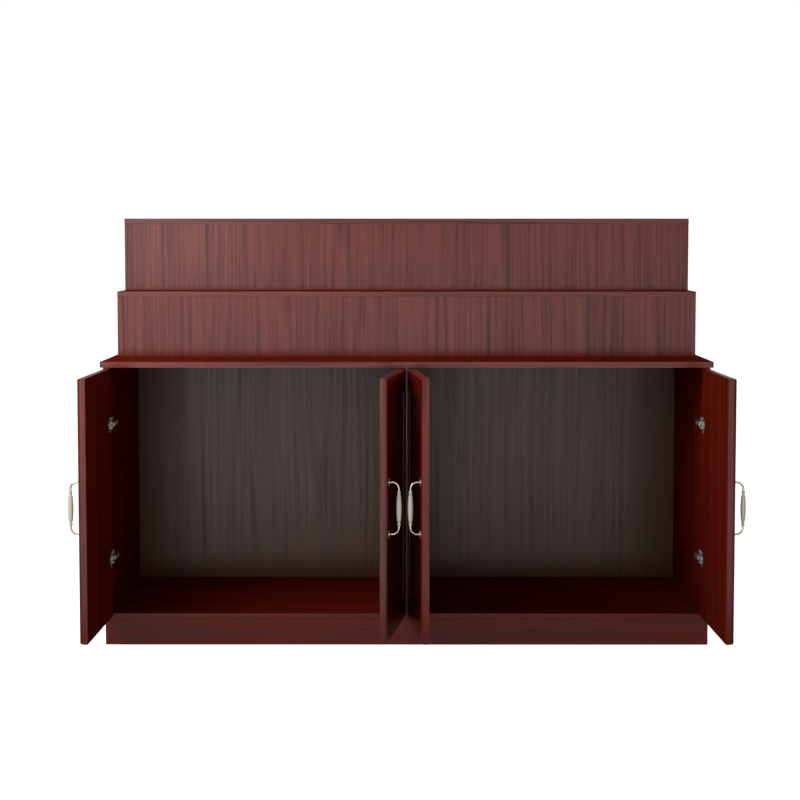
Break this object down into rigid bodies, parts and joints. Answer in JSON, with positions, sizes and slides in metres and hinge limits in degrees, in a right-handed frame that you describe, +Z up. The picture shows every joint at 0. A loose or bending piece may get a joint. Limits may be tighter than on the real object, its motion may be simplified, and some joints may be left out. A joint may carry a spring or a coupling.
{
  "type": "household altar cabinet",
  "caption": "Low rosewood altar cabinet: two bays behind hinged raised-panel doors with bow handles, and two stepped display tiers on its top.",
  "frame": {"origin": "on the floor, under the middle of the carcass, in the underside of the centre partition", "axes": "+Z up, +X to the right along the width as seen from the front, +Y to the back"},
  "size_m": [1.658, 1.0132, 1.1225],
  "materials": {
    "rosewood": "red-brown lacquered rosewood, vertical grain on doors and risers, gloss",
    "interior_board": "darker red-brown board, satin",
    "handle_metal": "polished pale gold plating",
    "handle_grip": "cream glaze, gloss",
    "hinge_steel": "nickel-plated pressed steel"
  },
  "bodies": {
    "carcass": {"side_panel_left": "rosewood", "side_panel_right": "rosewood", "bottom_board_left": "interior_board", "bottom_board_right": "interior_board", "plinth": "rosewood", "back_panel": "interior_board", "centre_partition": "interior_board", "countertop": "rosewood", "middle_side_left": "rosewood", "middle_side_right": "rosewood", "middle_riser": "rosewood", "middle_back": "interior_board", "middle_top": "rosewood", "upper_side_left": "rosewood", "upper_side_right": "rosewood", "upper_riser": "rosewood", "upper_back": "interior_board", "upper_top": "rosewood", "hinge_arm_outer_left_lower": "hinge_steel", "hinge_arm_outer_left_upper": "hinge_steel", "hinge_arm_inner_left_lower": "hinge_steel", "hinge_arm_inner_left_upper": "hinge_steel", "hinge_arm_inner_right_lower": "hinge_steel", "hinge_arm_inner_right_upper": "hinge_steel", "hinge_arm_outer_right_lower": "hinge_steel", "hinge_arm_outer_right_upper": "hinge_steel"},
    "outer_left_door": {"door_outer_left": "rosewood", "handle_outer_left_upper": "handle_metal", "handle_outer_left_lower": "handle_metal", "handle_outer_left_grip": "handle_grip", "hinge_cup_outer_left_lower": "hinge_steel", "hinge_cup_outer_left_upper": "hinge_steel"},
    "inner_left_door": {"door_inner_left": "rosewood", "handle_inner_left_upper": "handle_metal", "handle_inner_left_lower": "handle_metal", "handle_inner_left_grip": "handle_grip", "hinge_cup_inner_left_lower": "hinge_steel", "hinge_cup_inner_left_upper": "hinge_steel"},
    "inner_right_door": {"door_inner_right": "rosewood", "handle_inner_right_upper": "handle_metal", "handle_inner_right_lower": "handle_metal", "handle_inner_right_grip": "handle_grip", "hinge_cup_inner_right_lower": "hinge_steel", "hinge_cup_inner_right_upper": "hinge_steel"},
    "outer_right_door": {"door_outer_right": "rosewood", "handle_outer_right_upper": "handle_metal", "handle_outer_right_lower": "handle_metal", "handle_outer_right_grip": "handle_grip", "hinge_cup_outer_right_lower": "hinge_steel", "hinge_cup_outer_right_upper": "hinge_steel"}
  },
  "joints": [
    {"name": "outer_left_hinge", "type": "hinge", "parent": "carcass", "child": "outer_left_door", "pos_m": [-0.785, -0.321, 0], "axis": [0, 0, -1], "range_deg": [-91.1, 13.9]},
    {"name": "inner_left_hinge", "type": "hinge", "parent": "carcass", "child": "inner_left_door", "pos_m": [-0.0085, -0.321, 0], "axis": [0, 0, 1], "range_deg": [-83.4, 1.9]},
    {"name": "inner_right_hinge", "type": "hinge", "parent": "carcass", "child": "inner_right_door", "pos_m": [0.0085, -0.321, 0], "axis": [0, 0, -1], "range_deg": [-85, 0.3]},
    {"name": "outer_right_hinge", "type": "hinge", "parent": "carcass", "child": "outer_right_door", "pos_m": [0.785, -0.321, 0], "axis": [0, 0, 1], "range_deg": [-91.1, 13.9]}
  ]
}
